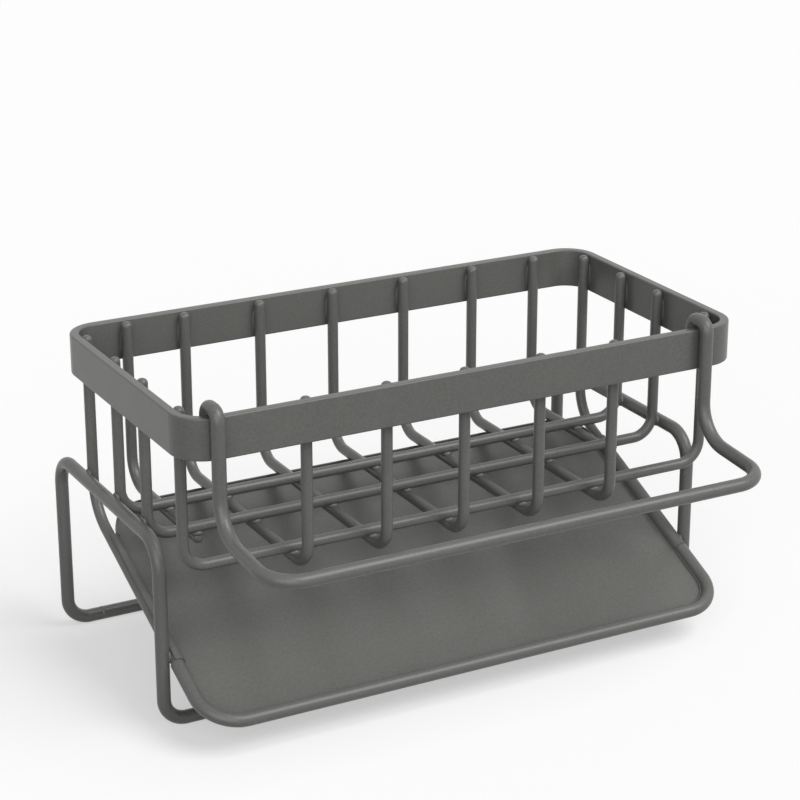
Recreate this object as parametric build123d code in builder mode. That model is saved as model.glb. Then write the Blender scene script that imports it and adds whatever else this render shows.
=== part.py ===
from build123d import *
from math import cos, radians, sin, sqrt, tan
import os

# Kitchen sink caddy: a wire basket under a flat steel rim, carried by a bent wire stand,
# with a sloping drip tray below and a towel rail hooked over the front of the rim.
# X runs along the rim, Y from the front to the back, and Z is up from the counter.
# The origin is on the counter, under the middle of the whole outline.

os.makedirs("parts", exist_ok=True)

# Rim band
rim_length = 250.0
rim_width = 127.0
rim_top = 140.0
band_height = 17.0
band_thickness = 3.8
rim_corner = 14.0
band_edge_round = 0.7

# Wires of the basket
wire_diameter = 4.6
tip_below_rim = 0.2
tip_round_share = 0.85
basket_floor_below_rim = 66.5
long_bend = 9.5
cross_bend = 10.0
corner_bend = 12.0
weld_sink = 0.1

# Places of the wires on the rim's end walls, as shares of the way from the middle of the wall
# to the start of its corner: minus is to the front, plus to the back
long_wire_front_share = -0.91
long_wire_middle_share = -0.20
long_wire_rear_share = 0.37
rail_place_share = 0.98

# Places of the wires on the rim's front and back walls
cross_wire_count = 5
cross_wires_from_end = 55.8
cross_wires_shift = -3.0
corner_wire_from_end = 27.0

# Stand
stand_diameter = 5.6
stand_front_leg_behind_rim_front = 32.5
stand_rear_leg_behind_rim = 11.5
stand_bar_above_floor = 5.5
stand_top_bend = 12.0
stand_foot_bend = 9.5
foot_tail = 6.0
ground_flat = 0.2

# Drip tray and its rails
tray_slope = 23.0
tray_front_beyond_rim = 3.5
tray_rear_before_rail = 2.5
tray_corner = 16.0
tray_rear_corner = 17.0
tray_sheet = 0.6
tray_depth = 4.3
tray_crease = 0.7
lip_past_top = 20.0
rear_wall_height = 2.0
rail_bend = 20.0
rail_end_gap = 0.3
rod_to_leg_gap = 0.6
lip_clearance = 0.4
tray_headroom = 1.4

# Towel rail
towel_wire_diameter = 5.6
towel_hook_from_end = 16.25
towel_rail_shift = -3.75
towel_bar_beyond_rim = 48.7
towel_bar_below_rim = 48.5
towel_arm_rise = 3.6
towel_arm_bend = 16.0
towel_corner = 13.5
hook_leg = 12.0
hook_flat = 2.2
hook_clearance = 0.3

# Sizes worked out from the ones above
wire_radius = wire_diameter / 2
tip_round = wire_radius * tip_round_share
stand_radius = stand_diameter / 2
towel_radius = towel_wire_diameter / 2

front_reach = towel_bar_beyond_rim + towel_radius
rear_reach = stand_rear_leg_behind_rim + stand_radius
middle_y = (front_reach - rear_reach) / 2
rim_front_y = middle_y - rim_width / 2
rim_rear_y = middle_y + rim_width / 2

wire_from_face = band_thickness + wire_radius - weld_sink
side_wire_x = rim_length / 2 - wire_from_face
front_wire_y = rim_front_y + wire_from_face
rear_wire_y = rim_rear_y - wire_from_face
tip_z = rim_top - tip_below_rim
basket_floor_z = rim_top - basket_floor_below_rim
cross_floor_z = basket_floor_z - wire_diameter + weld_sink

end_wall_reach = rim_width / 2 - rim_corner
front_long_y = middle_y + long_wire_front_share * end_wall_reach
middle_long_y = middle_y + long_wire_middle_share * end_wall_reach
rear_long_y = middle_y + long_wire_rear_share * end_wall_reach
rail_y = middle_y + rail_place_share * end_wall_reach

cross_wires_reach = rim_length / 2 - cross_wires_from_end
cross_wire_pitch = 2 * cross_wires_reach / (cross_wire_count - 1)
corner_wire_x = rim_length / 2 - corner_wire_from_end


def end_ring(wire, end):
    """The edge round the flat end of a swept wire."""
    return wire.edges().filter_by(GeomType.CIRCLE).sort_by_distance(end)[0]


def keep(piece, name):
    """Name a finished piece and write its file."""
    piece.part.label = name
    export_step(piece.part, f"parts/{name}.step")


# Rim band: a flat bar on edge, bent into a rounded rectangle, with its long edges rounded.
with BuildPart() as rim_band:
    with BuildSketch(Plane.XY.offset(rim_top - band_height)):
        with Locations((0, middle_y)):
            RectangleRounded(rim_length, rim_width, rim_corner)
            offset(amount=-band_thickness, mode=Mode.SUBTRACT)
    extrude(amount=band_height)
    rim_faces = rim_band.faces().filter_by(Axis.Z)
    fillet(rim_faces.edges(), radius=band_edge_round)
keep(rim_band, "rim_band")


# Lengthwise wires: each goes down inside one end of the rim, along under the load and up again.
long_wires = (("long_wire_front", front_long_y), ("long_wire_middle", middle_long_y),
              ("long_wire_rear", rear_long_y))
for name, wire_y in long_wires:
    left_tip = (-side_wire_x, wire_y, tip_z)
    right_tip = (side_wire_x, wire_y, tip_z)
    with BuildPart() as long_wire:
        with BuildLine() as route:
            FilletPolyline(
                left_tip,
                (-side_wire_x, wire_y, basket_floor_z),
                (side_wire_x, wire_y, basket_floor_z),
                right_tip,
                radius=long_bend,
            )
        with BuildSketch(Plane(origin=left_tip, z_dir=(0, 0, -1))):
            Circle(wire_radius)
        sweep()
        fillet([end_ring(long_wire, left_tip), end_ring(long_wire, right_tip)], radius=tip_round)
    keep(long_wire, name)


# Cross wires: the same U shape from front to back, welded under the lengthwise wires.
for number in range(cross_wire_count):
    wire_x = cross_wires_shift - cross_wires_reach + number * cross_wire_pitch
    front_tip = (wire_x, front_wire_y, tip_z)
    rear_tip = (wire_x, rear_wire_y, tip_z)
    with BuildPart() as cross_wire:
        with BuildLine() as route:
            FilletPolyline(
                front_tip,
                (wire_x, front_wire_y, cross_floor_z),
                (wire_x, rear_wire_y, cross_floor_z),
                rear_tip,
                radius=cross_bend,
            )
        with BuildSketch(Plane(origin=front_tip, z_dir=(0, 0, -1))):
            Circle(wire_radius)
        sweep()
        fillet([end_ring(cross_wire, front_tip), end_ring(cross_wire, rear_tip)], radius=tip_round)
    keep(cross_wire, f"cross_wire_{number + 1}")


# Rear corner wires: down the back wall, then forward to the middle lengthwise wire.
for name, side in (("rear_corner_wire_left", -1), ("rear_corner_wire_right", 1)):
    tip = (side * corner_wire_x, rear_wire_y, tip_z)
    front_end = (side * corner_wire_x, middle_long_y - wire_radius, cross_floor_z)
    with BuildPart() as corner_wire:
        with BuildLine() as route:
            FilletPolyline(
                tip,
                (side * corner_wire_x, rear_wire_y, cross_floor_z),
                front_end,
                radius=corner_bend,
            )
        with BuildSketch(Plane(origin=tip, z_dir=(0, 0, -1))):
            Circle(wire_radius)
        sweep()
        fillet([end_ring(corner_wire, tip), end_ring(corner_wire, front_end)], radius=tip_round)
    keep(corner_wire, name)


# Stand sides: front foot, front leg, bar under the basket's side, rear leg and rear foot in one
# wire. The bar lies against the lower bends of the lengthwise wires and is welded there.
stand_wire_z = stand_radius - ground_flat
stand_bar_z = basket_floor_z + stand_bar_above_floor
bend_rise = max(0, long_bend - stand_bar_above_floor)
bend_touch = long_bend + wire_radius + stand_radius - weld_sink
stand_x = side_wire_x - long_bend + sqrt(bend_touch**2 - bend_rise**2)
foot_end_x = stand_x - stand_foot_bend - foot_tail
front_leg_y = rim_front_y + stand_front_leg_behind_rim_front
rear_leg_y = rim_rear_y + stand_rear_leg_behind_rim

for name, side in (("stand_left", -1), ("stand_right", 1)):
    front_foot_end = (side * foot_end_x, front_leg_y, stand_wire_z)
    with BuildPart() as stand_side:
        with BuildLine() as route:
            FilletPolyline(
                front_foot_end,
                (side * stand_x, front_leg_y, stand_wire_z),
                (side * stand_x, front_leg_y, stand_bar_z),
                (side * stand_x, rear_leg_y, stand_bar_z),
                (side * stand_x, rear_leg_y, stand_wire_z),
                (side * foot_end_x, rear_leg_y, stand_wire_z),
                radius=[stand_foot_bend, stand_top_bend, stand_top_bend, stand_foot_bend],
            )
        with BuildSketch(Plane(origin=front_foot_end, z_dir=(side, 0, 0))):
            Circle(stand_radius)
        sweep()
        split(bisect_by=Plane.XY, keep=Keep.TOP)
    keep(stand_side, name)


# Floor bars: straight wires butted between the feet, with the same flat ground underneath.
for name, bar_y in (("front_floor_bar", front_leg_y), ("rear_floor_bar", rear_leg_y)):
    with BuildPart() as floor_bar:
        with BuildSketch(Plane(origin=(-foot_end_x, bar_y, stand_wire_z), z_dir=(1, 0, 0))):
            Circle(stand_radius)
        extrude(amount=2 * foot_end_x)
        split(bisect_by=Plane.XY, keep=Keep.TOP)
    keep(floor_bar, name)


# The tray lies in a tilted plane through the centrelines of its rails and front rod, as high
# as the basket's wires allow at the rear. In that plane x is the rim's X and y runs up the slope
# from the front rod.
slope_cos = cos(radians(tray_slope))
slope_sin = sin(radians(tray_slope))
slope_tan = tan(radians(tray_slope))
wire_underside = cross_floor_z - wire_radius
tray_front_y = rim_front_y - tray_front_beyond_rim
tray_rear_y = rail_y - tray_rear_before_rail
tray_rear_z = wire_underside - tray_headroom - rear_wall_height * slope_cos
tray_front_z = tray_rear_z - (tray_rear_y - tray_front_y) * slope_tan
tray_plane = Plane(
    origin=(0, tray_front_y, tray_front_z),
    x_dir=(1, 0, 0),
    z_dir=(0, -slope_sin, slope_cos),
)
lip_inner = wire_radius + lip_clearance
lip_outer = lip_inner + tray_sheet
tray_rod_radius = lip_inner + weld_sink
leg_front_y = front_leg_y - stand_radius
rod_end = (leg_front_y - rod_to_leg_gap - tray_rod_radius * slope_sin - tray_front_y) / slope_cos
rail_end = rod_end + rail_end_gap

# Tray rails: down inside the end of the rim, then forward down the slope past the front leg,
# to just behind the tray's front rod.
rail_knee_z = tray_front_z + (rail_y - tray_front_y) * slope_tan
rail_end_y = tray_front_y + rail_end * slope_cos
rail_end_z = tray_front_z + rail_end * slope_sin

for name, side in (("tray_rail_left", -1), ("tray_rail_right", 1)):
    tip = (side * side_wire_x, rail_y, tip_z)
    with BuildPart() as tray_rail:
        with BuildLine() as route:
            FilletPolyline(
                tip,
                (side * side_wire_x, rail_y, rail_knee_z),
                (side * side_wire_x, rail_end_y, rail_end_z),
                radius=rail_bend,
            )
        with BuildSketch(Plane(origin=tip, z_dir=(0, 0, -1))):
            Circle(wire_radius)
        sweep()
        fillet(end_ring(tray_rail, tip), radius=tip_round)
    keep(tray_rail, name)

# Front rod of the tray: it carries the line of the rails on, from just before the front legs,
# round both front corners.
with BuildPart() as tray_front_rod:
    with BuildLine(tray_plane) as route:
        FilletPolyline(
            (-side_wire_x, rod_end),
            (-side_wire_x, 0),
            (side_wire_x, 0),
            (side_wire_x, rod_end),
            radius=tray_corner,
        )
    rod_start = tray_plane.from_local_coords((-side_wire_x, rod_end, 0))
    with BuildSketch(Plane(origin=rod_start, z_dir=-tray_plane.y_dir)):
        Circle(tray_rod_radius)
    sweep()
keep(tray_front_rod, "tray_front_rod")

# Tray pan: a shallow sheet pan. Its front wall is welded to the rod, its side walls turn over
# the rails as lips that rest on them, and its rear wall stands up just under the basket.
pan_half_width = side_wire_x - lip_inner
pan_front = lip_inner
pan_rear = (tray_rear_y - tray_front_y) / slope_cos
pan_front_corner = tray_corner - lip_inner
lip_rear = pan_rear - tray_rear_corner
pan_floor_top = lip_outer - tray_depth
pan_floor_bottom = pan_floor_top - tray_sheet
slope_normal = Axis(tray_plane.origin, tray_plane.z_dir)

with BuildSketch() as pan_outline:
    with BuildLine():
        FilletPolyline(
            (-pan_half_width, pan_front),
            (pan_half_width, pan_front),
            (pan_half_width, pan_rear),
            (-pan_half_width, pan_rear),
            radius=[pan_front_corner, pan_front_corner, tray_rear_corner, tray_rear_corner],
            close=True,
        )
    make_face()

with BuildSketch() as pan_wall:
    add(pan_outline.sketch)
    offset(amount=-tray_sheet, mode=Mode.SUBTRACT)

with BuildPart() as tray_pan:
    with BuildSketch(tray_plane.offset(pan_floor_bottom)):
        add(pan_outline.sketch)
    extrude(amount=tray_sheet)
    with BuildSketch(tray_plane.offset(pan_floor_top)):
        add(pan_wall.sketch)
    extrude(amount=-pan_floor_top)
    underside, floor, _ = tray_pan.faces().filter_by(slope_normal).sort_by(slope_normal)
    fillet(floor.edges(), radius=tray_crease)
    fillet(underside.edges(), radius=tray_crease + tray_sheet)

    with BuildSketch(tray_plane):
        add(pan_wall.sketch)
        with Locations((0, lip_rear)):
            Rectangle(rim_length, pan_rear, align=(Align.CENTER, Align.MIN), mode=Mode.INTERSECT)
    extrude(amount=rear_wall_height)

    for side in (-1, 1):
        rail_point = tray_plane.from_local_coords((side * side_wire_x, lip_rear, 0))
        with BuildSketch(Plane(origin=rail_point, x_dir=(1, 0, 0), z_dir=-tray_plane.y_dir)):
            with BuildLine():
                under = CenterArc((0, 0), lip_inner, 90 + side * 90, -side * (90 + lip_past_top))
                over = CenterArc((0, 0), lip_outer, 90 + side * 90, -side * (90 + lip_past_top))
                Line(under @ 0, over @ 0)
                Line(under @ 1, over @ 1)
            make_face()
        extrude(amount=lip_rear - rod_end)
keep(tray_pan, "tray_pan")


# Towel rail: one wire hooked over the front of the rim near both corners, down the outside,
# then forward to the bar that a cloth hangs on. It hangs a little to the left, where its left
# hook has just reached the start of the rim's corner and keeps clear of the bend inside.
hook_reach = rim_length / 2 - towel_hook_from_end
left_hook_x = towel_rail_shift - hook_reach
right_hook_x = towel_rail_shift + hook_reach
past_straight = max(0, hook_reach + abs(towel_rail_shift) - (rim_length / 2 - rim_corner))
clear_of_bend = rim_corner - band_thickness - hook_clearance - towel_radius
hook_outer_y = rim_front_y - hook_clearance - towel_radius
hook_inner_y = rim_front_y + rim_corner - sqrt(clear_of_bend**2 - past_straight**2)
hook_top_z = rim_top + hook_clearance + towel_radius
hook_bend = (hook_inner_y - hook_outer_y - hook_flat) / 2
towel_bar_y = rim_front_y - towel_bar_beyond_rim
towel_bar_z = rim_top - towel_bar_below_rim
left_hook_end = (left_hook_x, hook_inner_y, rim_top - hook_leg)
right_hook_end = (right_hook_x, hook_inner_y, rim_top - hook_leg)
towel_bends = [hook_bend, hook_bend, towel_arm_bend, towel_corner]

with BuildPart() as towel_rail:
    with BuildLine() as route:
        FilletPolyline(
            left_hook_end,
            (left_hook_x, hook_inner_y, hook_top_z),
            (left_hook_x, hook_outer_y, hook_top_z),
            (left_hook_x, hook_outer_y, towel_bar_z + towel_arm_rise),
            (left_hook_x, towel_bar_y, towel_bar_z),
            (right_hook_x, towel_bar_y, towel_bar_z),
            (right_hook_x, hook_outer_y, towel_bar_z + towel_arm_rise),
            (right_hook_x, hook_outer_y, hook_top_z),
            (right_hook_x, hook_inner_y, hook_top_z),
            right_hook_end,
            radius=towel_bends + towel_bends[::-1],
        )
    with BuildSketch(Plane(origin=left_hook_end, z_dir=(0, 0, 1))):
        Circle(towel_radius)
    sweep()
    hook_rings = [end_ring(towel_rail, left_hook_end), end_ring(towel_rail, right_hook_end)]
    fillet(hook_rings, radius=towel_radius * tip_round_share)
keep(towel_rail, "towel_rail")
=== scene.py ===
from math import cos, radians, sin, tan

import bmesh
import bpy
from mathutils import Matrix, Vector


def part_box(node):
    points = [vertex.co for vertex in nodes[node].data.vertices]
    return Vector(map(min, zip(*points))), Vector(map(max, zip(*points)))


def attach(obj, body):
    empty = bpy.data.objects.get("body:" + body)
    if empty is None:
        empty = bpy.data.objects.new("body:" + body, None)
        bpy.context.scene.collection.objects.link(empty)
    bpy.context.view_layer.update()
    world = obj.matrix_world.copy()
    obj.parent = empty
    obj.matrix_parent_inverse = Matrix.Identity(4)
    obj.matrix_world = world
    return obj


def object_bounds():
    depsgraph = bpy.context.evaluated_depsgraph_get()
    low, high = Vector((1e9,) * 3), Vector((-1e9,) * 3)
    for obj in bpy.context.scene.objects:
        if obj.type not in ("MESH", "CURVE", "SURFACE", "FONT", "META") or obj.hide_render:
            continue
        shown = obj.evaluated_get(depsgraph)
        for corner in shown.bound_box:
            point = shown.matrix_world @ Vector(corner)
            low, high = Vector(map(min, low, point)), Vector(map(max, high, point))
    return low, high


# Kitchen sink caddy: grey powder-coated wire basket with a rim band, a bent wire stand,
# a slide-out drip tray and a lift-off towel rail, on a plain pale counter.

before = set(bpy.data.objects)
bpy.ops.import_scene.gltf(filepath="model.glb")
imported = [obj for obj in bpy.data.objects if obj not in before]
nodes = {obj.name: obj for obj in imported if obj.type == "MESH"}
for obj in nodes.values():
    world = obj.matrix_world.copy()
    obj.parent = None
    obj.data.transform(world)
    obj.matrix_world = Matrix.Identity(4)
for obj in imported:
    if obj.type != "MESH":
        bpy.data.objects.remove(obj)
cad_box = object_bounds()

MM = 0.001

# Camera: where the photograph was taken from, in this frame.
PHOTO_WIDTH = 800
FOCAL_PIXELS = 2373.8
SENSOR = 36.0
CAMERA_AZIMUTH = radians(-28.26)
CAMERA_ELEVATION = radians(20.23)
CAMERA_DISTANCE = 985.7 * MM
CAMERA_TARGET = Vector((-0.7, 19.0, 106.9)) * MM
CAMERA_REACH = 50.0

# Light: a soft key lamp above the front right, a wide fill lamp low at the front left and a soft
# dome all round.
DOME_STRENGTH = 0.27
KEY_STRENGTH = 2.05
KEY_WIDTH = radians(40)
KEY_AZIMUTH = radians(35)
KEY_ELEVATION = radians(52)
FILL_STRENGTH = 1.6
FILL_WIDTH = radians(60)
FILL_AZIMUTH = radians(-34)
FILL_ELEVATION = radians(20)
LAMP_DISTANCE = 1.8
WHITE = (1.0, 1.0, 1.0, 1.0)

# Counter: how white it looks by itself, how much of the light on it shows, and what it throws
# back up at the caddy.
COUNTER_GLOW = 0.455
COUNTER_SEEN = 0.55
COUNTER_BOUNCE = 0.12
COUNTER_REACH = 12.0

# Powder coat: its grey, its gloss, and how strongly the fine grain and the broad mottle change
# the grey and the gloss. The grain and the orange peel also stand up a little from the metal.
COAT_GREY = (0.1100, 0.1105, 0.1035, 1.0)
COAT_ROUGHNESS = 0.35
COAT_SPECULAR = 0.42
WIRE_GRAIN = 1200.0
BAND_GRAIN = 1100.0
SHEET_GRAIN = 1000.0
GRAIN_DETAIL = 3.0
GRAIN_EDGE = 0.6
GRAIN_IN_GREY = 0.60
GRAIN_IN_GLOSS = 0.12
GRAIN_IN_HEIGHT = 0.6
MOTTLE_SCALE = 60.0
MOTTLE_DETAIL = 4.0
MOTTLE_EDGE = 0.55
MOTTLE_IN_GREY = 0.12
MOTTLE_IN_GLOSS = 0.14
PEEL_PER_GRAIN = 0.8
PEEL_IN_HEIGHT = 0.8
COAT_HEIGHT = 0.06 * MM
COAT_BUMP = 0.35
NOISE_MIDDLE = 0.5

# Sockets whose name others on the node share, so they are found by their place in its list
OBJECT_PLACE = 3
MIX_AMOUNT = 0
MIX_FIRST = 6
MIX_SECOND = 7
MIX_COLOUR = 2

# Wires: radii, the slope of the tray's rails, and the nodes of the basket
WIRE_RADIUS = 2.3 * MM
STAND_RADIUS = 2.8 * MM
TRAY_SLOPE = radians(23)
LONG_WIRES = ("long_wire_front", "long_wire_middle", "long_wire_rear")
CROSS_WIRES = tuple(f"cross_wire_{number}" for number in range(1, 6))
CORNER_WIRES = ("rear_corner_wire_left", "rear_corner_wire_right")
TRAY_RAILS = ("tray_rail_left", "tray_rail_right")

# Weld beads: half sizes, and where they sit on the band, the stand's bars and the tray's rails
CROSSING_BEAD = Vector((2.65, 2.65, 1.45)) * MM
BAND_BEAD_REACH = 2.6 * MM
BAND_BEAD_DEPTH = 0.7 * MM
BAND_BEAD_RISE = 6.2 * MM
BAND_BEAD_UP = 7.4 * MM
BAR_BEAD = Vector((1.2, 2.65, 2.6)) * MM
BAR_BEAD_INWARD = 2.6 * MM
BAR_BEAD_UP = 0.75 * MM
RISER_BEAD = Vector((1.1, 2.65, 3.0)) * MM
RISER_BEAD_INWARD = 2.45 * MM
FOOT_BEAD = Vector((1.5, 2.95, 2.8)) * MM
FOOT_BEAD_CLEAR = 0.02 * MM
BEAD_ROUND = 20
BEAD_RINGS = 12


class Value:
    """A socket that takes part in sums; each operator adds its Math node."""

    def __init__(self, tree, socket):
        self.tree = tree
        self.socket = socket

    def math(self, operation, *operands):
        return self.tree.node("ShaderNodeMath", {"operation": operation}, dict(enumerate(operands)))

    def __add__(self, other):
        return self.math("ADD", self, other)

    def __radd__(self, other):
        return self.math("ADD", other, self)

    def __sub__(self, other):
        return self.math("SUBTRACT", self, other)

    def __mul__(self, other):
        return self.math("MULTIPLY", self, other)


class Tree:
    """The nodes of one material or of the studio's world."""

    def __init__(self, owner):
        self.owner = owner
        self.owner.use_nodes = True
        self.nodes = self.owner.node_tree.nodes
        self.links = self.owner.node_tree.links
        self.nodes.clear()

    def node(self, kind, settings=None, inputs=None, output=0):
        """Add a node: its settings first, then the values or links of its sockets."""
        made = self.nodes.new(kind)
        for name, value in (settings or {}).items():
            setattr(made, name, value)
        for name, value in (inputs or {}).items():
            if isinstance(value, Value):
                self.links.new(value.socket, made.inputs[name])
            else:
                made.inputs[name].default_value = value
        return Value(self, made.outputs[output]) if len(made.outputs) else None

    def seen_directly(self):
        """1 for what the camera, a gloss or a glass sees, 0 for what only lights the caddy."""
        path = self.nodes.new("ShaderNodeLightPath")
        camera, gloss, glass = (Value(self, path.outputs[name])
                                for name in ("Is Camera Ray", "Is Glossy Ray", "Is Transmission Ray"))
        return camera.math("MAXIMUM", camera.math("MAXIMUM", camera, gloss), glass)


def powder_coat(name, grain_scale):
    """Matte powder coat: an even grey with a fine grain, a faint mottle and a slight orange peel."""
    tree = Tree(bpy.data.materials.new(name))
    place = tree.node("ShaderNodeTexCoord", output=OBJECT_PLACE)
    grain = tree.node("ShaderNodeTexNoise", None,
                      {"Vector": place, "Scale": grain_scale, "Detail": GRAIN_DETAIL,
                       "Roughness": GRAIN_EDGE})
    mottle = tree.node("ShaderNodeTexNoise", None,
                       {"Vector": place, "Scale": MOTTLE_SCALE, "Detail": MOTTLE_DETAIL,
                        "Roughness": MOTTLE_EDGE})
    peel = tree.node("ShaderNodeTexVoronoi", {"feature": "SMOOTH_F1"},
                     {"Vector": place, "Scale": grain_scale * PEEL_PER_GRAIN, "Smoothness": 1.0})
    finer = grain - NOISE_MIDDLE
    broader = mottle - NOISE_MIDDLE
    shade = 1.0 + finer * GRAIN_IN_GREY + broader * MOTTLE_IN_GREY
    shades = tree.node("ShaderNodeCombineColor", None, {0: shade, 1: shade, 2: shade})
    colour = tree.node("ShaderNodeMix", {"data_type": "RGBA", "blend_type": "MULTIPLY"},
                       {MIX_AMOUNT: 1.0, MIX_FIRST: COAT_GREY, MIX_SECOND: shades}, output=MIX_COLOUR)
    roughness = COAT_ROUGHNESS + broader * MOTTLE_IN_GLOSS + finer * GRAIN_IN_GLOSS
    height = grain * GRAIN_IN_HEIGHT + peel * PEEL_IN_HEIGHT
    normal = tree.node("ShaderNodeBump", None,
                       {"Height": height, "Strength": COAT_BUMP, "Distance": COAT_HEIGHT})
    coat = tree.node("ShaderNodeBsdfPrincipled", None,
                     {"Base Color": colour, "Roughness": roughness, "Normal": normal,
                      "Specular IOR Level": COAT_SPECULAR, "Metallic": 0.0})
    tree.node("ShaderNodeOutputMaterial", None, {"Surface": coat})
    return tree.owner


def counter_material():
    """Pale counter: near white to the eye, with a light shadow, and a calm bounce on the caddy."""
    tree = Tree(bpy.data.materials.new("pale_counter"))
    glow = tree.node("ShaderNodeEmission", None, {"Color": WHITE, "Strength": COUNTER_GLOW})
    seen = tree.node("ShaderNodeBsdfDiffuse", None, {"Color": (COUNTER_SEEN,) * 3 + (1.0,)})
    shown = tree.node("ShaderNodeAddShader", None, {0: glow, 1: seen})
    bounce = tree.node("ShaderNodeBsdfDiffuse", None, {"Color": (COUNTER_BOUNCE,) * 3 + (1.0,)})
    mixed = tree.node("ShaderNodeMixShader", None, {0: tree.seen_directly(), 1: bounce, 2: shown})
    tree.node("ShaderNodeOutputMaterial", None, {"Surface": mixed})
    return tree.owner


def link(thing):
    """Put an object into the scene."""
    bpy.context.scene.collection.objects.link(thing)
    return thing


def direction(azimuth, elevation):
    """The way that a view or a lamp at this azimuth and elevation looks."""
    return Vector((-sin(azimuth) * cos(elevation), cos(azimuth) * cos(elevation), -sin(elevation)))


def aim(thing, azimuth, elevation, distance):
    """Put a camera or a lamp at this azimuth and elevation, looking at the caddy."""
    forward = direction(azimuth, elevation)
    place = Matrix.Translation(CAMERA_TARGET - forward * distance)
    thing.matrix_world = place @ forward.to_track_quat("-Z", "Y").to_matrix().to_4x4()


def add_camera():
    """The photograph's own viewpoint and lens."""
    data = bpy.data.cameras.new("photo_camera")
    data.sensor_width = SENSOR
    data.lens = FOCAL_PIXELS * SENSOR / PHOTO_WIDTH
    data.clip_end = CAMERA_REACH
    camera = link(bpy.data.objects.new("photo_camera", data))
    aim(camera, CAMERA_AZIMUTH, CAMERA_ELEVATION, CAMERA_DISTANCE)
    bpy.context.scene.camera = camera


def add_lamp(name, strength, width, azimuth, elevation):
    """A wide, even lamp; the width is the angle that its light comes from."""
    data = bpy.data.lights.new(name, "SUN")
    data.energy = strength
    data.angle = width
    aim(link(bpy.data.objects.new(name, data)), azimuth, elevation, LAMP_DISTANCE)


def add_dome():
    """A weak white light from all round, which is full white where it is seen."""
    world = bpy.data.worlds.new("studio")
    bpy.context.scene.world = world
    tree = Tree(world)
    strength = DOME_STRENGTH + tree.seen_directly() * (1.0 - DOME_STRENGTH)
    dome = tree.node("ShaderNodeBackground", None, {"Color": WHITE, "Strength": strength})
    tree.node("ShaderNodeOutputWorld", None, {"Surface": dome})


def add_counter():
    """The counter is part of the stage, not of the caddy."""
    mesh = bpy.data.meshes.new("counter")
    shape = bmesh.new()
    bmesh.ops.create_grid(shape, x_segments=1, y_segments=1, size=COUNTER_REACH)
    shape.to_mesh(mesh)
    shape.free()
    mesh.materials.append(counter_material())
    link(bpy.data.objects.new("counter", mesh))


def middle(node):
    """Middle of a CAD node's box."""
    low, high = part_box(node)
    return (low + high) / 2


def add_bead(shape, centre, half_sizes):
    """One smooth weld bead, an ellipsoid."""
    place = Matrix.Translation(centre) @ Matrix.Diagonal((*half_sizes, 1.0))
    bmesh.ops.create_uvsphere(shape, u_segments=BEAD_ROUND, v_segments=BEAD_RINGS, radius=1.0,
                              matrix=place)


def add_piece(name, shape, body, coat):
    """Make one smooth piece of the shape, coat it and let it ride on a body."""
    for face in shape.faces:
        face.smooth = True
    mesh = bpy.data.meshes.new(name)
    shape.to_mesh(mesh)
    shape.free()
    mesh.materials.append(coat)
    piece = link(bpy.data.objects.new(name, mesh))
    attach(piece, body)


def floor_crossings():
    """Where the long wires lie on the cross wires and on the rear corner wires."""
    places = []
    for long_wire in LONG_WIRES:
        crossed = CROSS_WIRES if long_wire == LONG_WIRES[0] else CROSS_WIRES + CORNER_WIRES
        for other in crossed:
            places.append(Vector((middle(other).x, middle(long_wire).y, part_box(long_wire)[0].z)))
    return places


def band_joints():
    """Foot of each wire on the band's inner face, with True where that face looks along X."""
    joints = []
    for wire in LONG_WIRES:
        low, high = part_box(wire)
        joints += [((x, middle(wire).y), True) for x in (low.x, high.x)]
    for wire in CROSS_WIRES:
        low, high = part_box(wire)
        joints += [((middle(wire).x, y), False) for y in (low.y, high.y)]
    for wire in CORNER_WIRES:
        joints.append(((middle(wire).x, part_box(wire)[1].y), False))
    for wire in TRAY_RAILS:
        low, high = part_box(wire)
        outer_x = low.x if high.x < 0 else high.x
        joints.append(((outer_x, high.y - WIRE_RADIUS), True))
    return joints


def add_basket_welds(coat):
    """Beads where the basket's wires cross, and along each wire's end on the band."""
    shape = bmesh.new()
    for place in floor_crossings():
        add_bead(shape, place, CROSSING_BEAD)
    band_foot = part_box("rim_band")[0].z
    for (x, y), along_x in band_joints():
        across = (BAND_BEAD_REACH, BAND_BEAD_DEPTH)
        if along_x:
            across = (BAND_BEAD_DEPTH, BAND_BEAD_REACH)
        add_bead(shape, Vector((x, y, band_foot + BAND_BEAD_UP)), (*across, BAND_BEAD_RISE))
    add_piece("basket_welds", shape, "caddy", coat)


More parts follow.
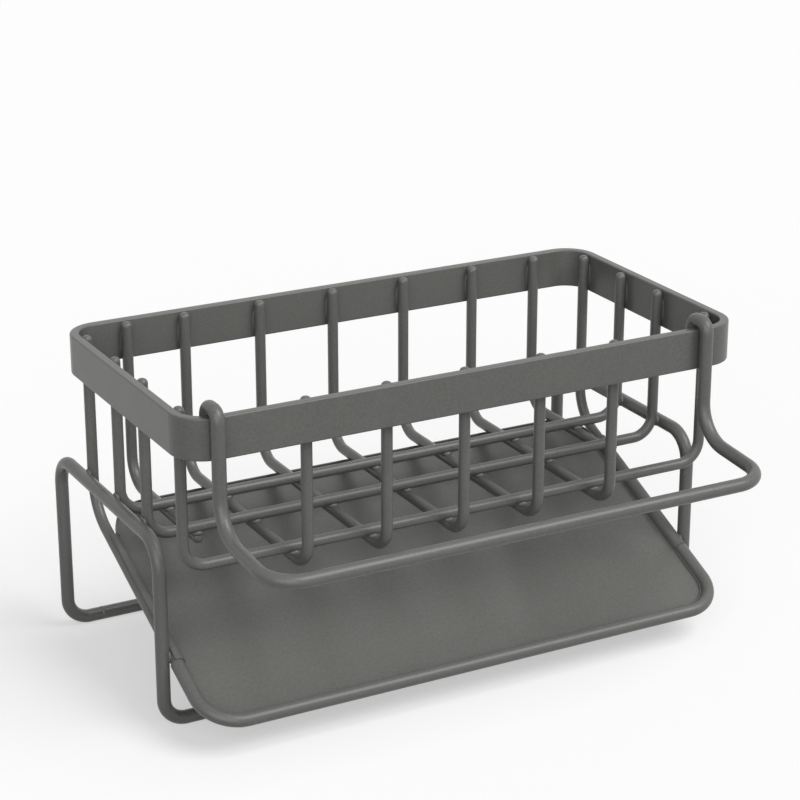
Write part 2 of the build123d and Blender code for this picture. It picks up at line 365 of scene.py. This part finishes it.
def add_stand_welds(coat):
    """Beads where each stand carries the long wires and the tray rail."""
    shape = bmesh.new()
    rod_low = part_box("tray_front_rod")[0]
    for side, inward in (("left", 1.0), ("right", -1.0)):
        low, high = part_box(f"stand_{side}")
        bar_x = low.x + STAND_RADIUS if side == "left" else high.x - STAND_RADIUS
        bar_z = high.z - STAND_RADIUS
        leg_y = low.y + STAND_RADIUS
        riser_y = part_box(f"tray_rail_{side}")[1].y - WIRE_RADIUS
        for wire in LONG_WIRES[1:]:
            place = Vector((bar_x + inward * BAR_BEAD_INWARD, middle(wire).y, bar_z + BAR_BEAD_UP))
            add_bead(shape, place, BAR_BEAD)
        rail_x = bar_x + inward * RISER_BEAD_INWARD
        add_bead(shape, Vector((rail_x, riser_y, bar_z)), RISER_BEAD)
        rail_z = rod_low.z + STAND_RADIUS + (leg_y - rod_low.y - STAND_RADIUS) * tan(TRAY_SLOPE)
        add_bead(shape, Vector((rail_x, leg_y, rail_z)), RISER_BEAD)
    add_piece("stand_welds", shape, "caddy", coat)


def add_foot_welds(coat):
    """Slight swellings where each floor bar meets the stands' feet."""
    shape = bmesh.new()
    for bar in ("front_floor_bar", "rear_floor_bar"):
        low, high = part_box(bar)
        y = min(middle(bar).y, cad_box[1].y - FOOT_BEAD.y)
        for x in (low.x, high.x):
            add_bead(shape, Vector((x, y, FOOT_BEAD.z + FOOT_BEAD_CLEAR)), FOOT_BEAD)
    add_piece("foot_welds", shape, "caddy", coat)


add_camera()
add_dome()
add_lamp("key_lamp", KEY_STRENGTH, KEY_WIDTH, KEY_AZIMUTH, KEY_ELEVATION)
add_lamp("fill_lamp", FILL_STRENGTH, FILL_WIDTH, FILL_AZIMUTH, FILL_ELEVATION)
add_counter()

wire_coat = powder_coat("wire_powder_coat", WIRE_GRAIN)
band_coat = powder_coat("band_powder_coat", BAND_GRAIN)
sheet_coat = powder_coat("sheet_powder_coat", SHEET_GRAIN)
flat_coats = {"rim_band": band_coat, "tray_pan": sheet_coat}
for name, node in nodes.items():
    node.data.materials.clear()
    node.data.materials.append(flat_coats.get(name, wire_coat))
add_basket_welds(wire_coat)
add_stand_welds(wire_coat)
add_foot_welds(wire_coat)

bpy.context.scene.view_settings.view_transform = "Standard"
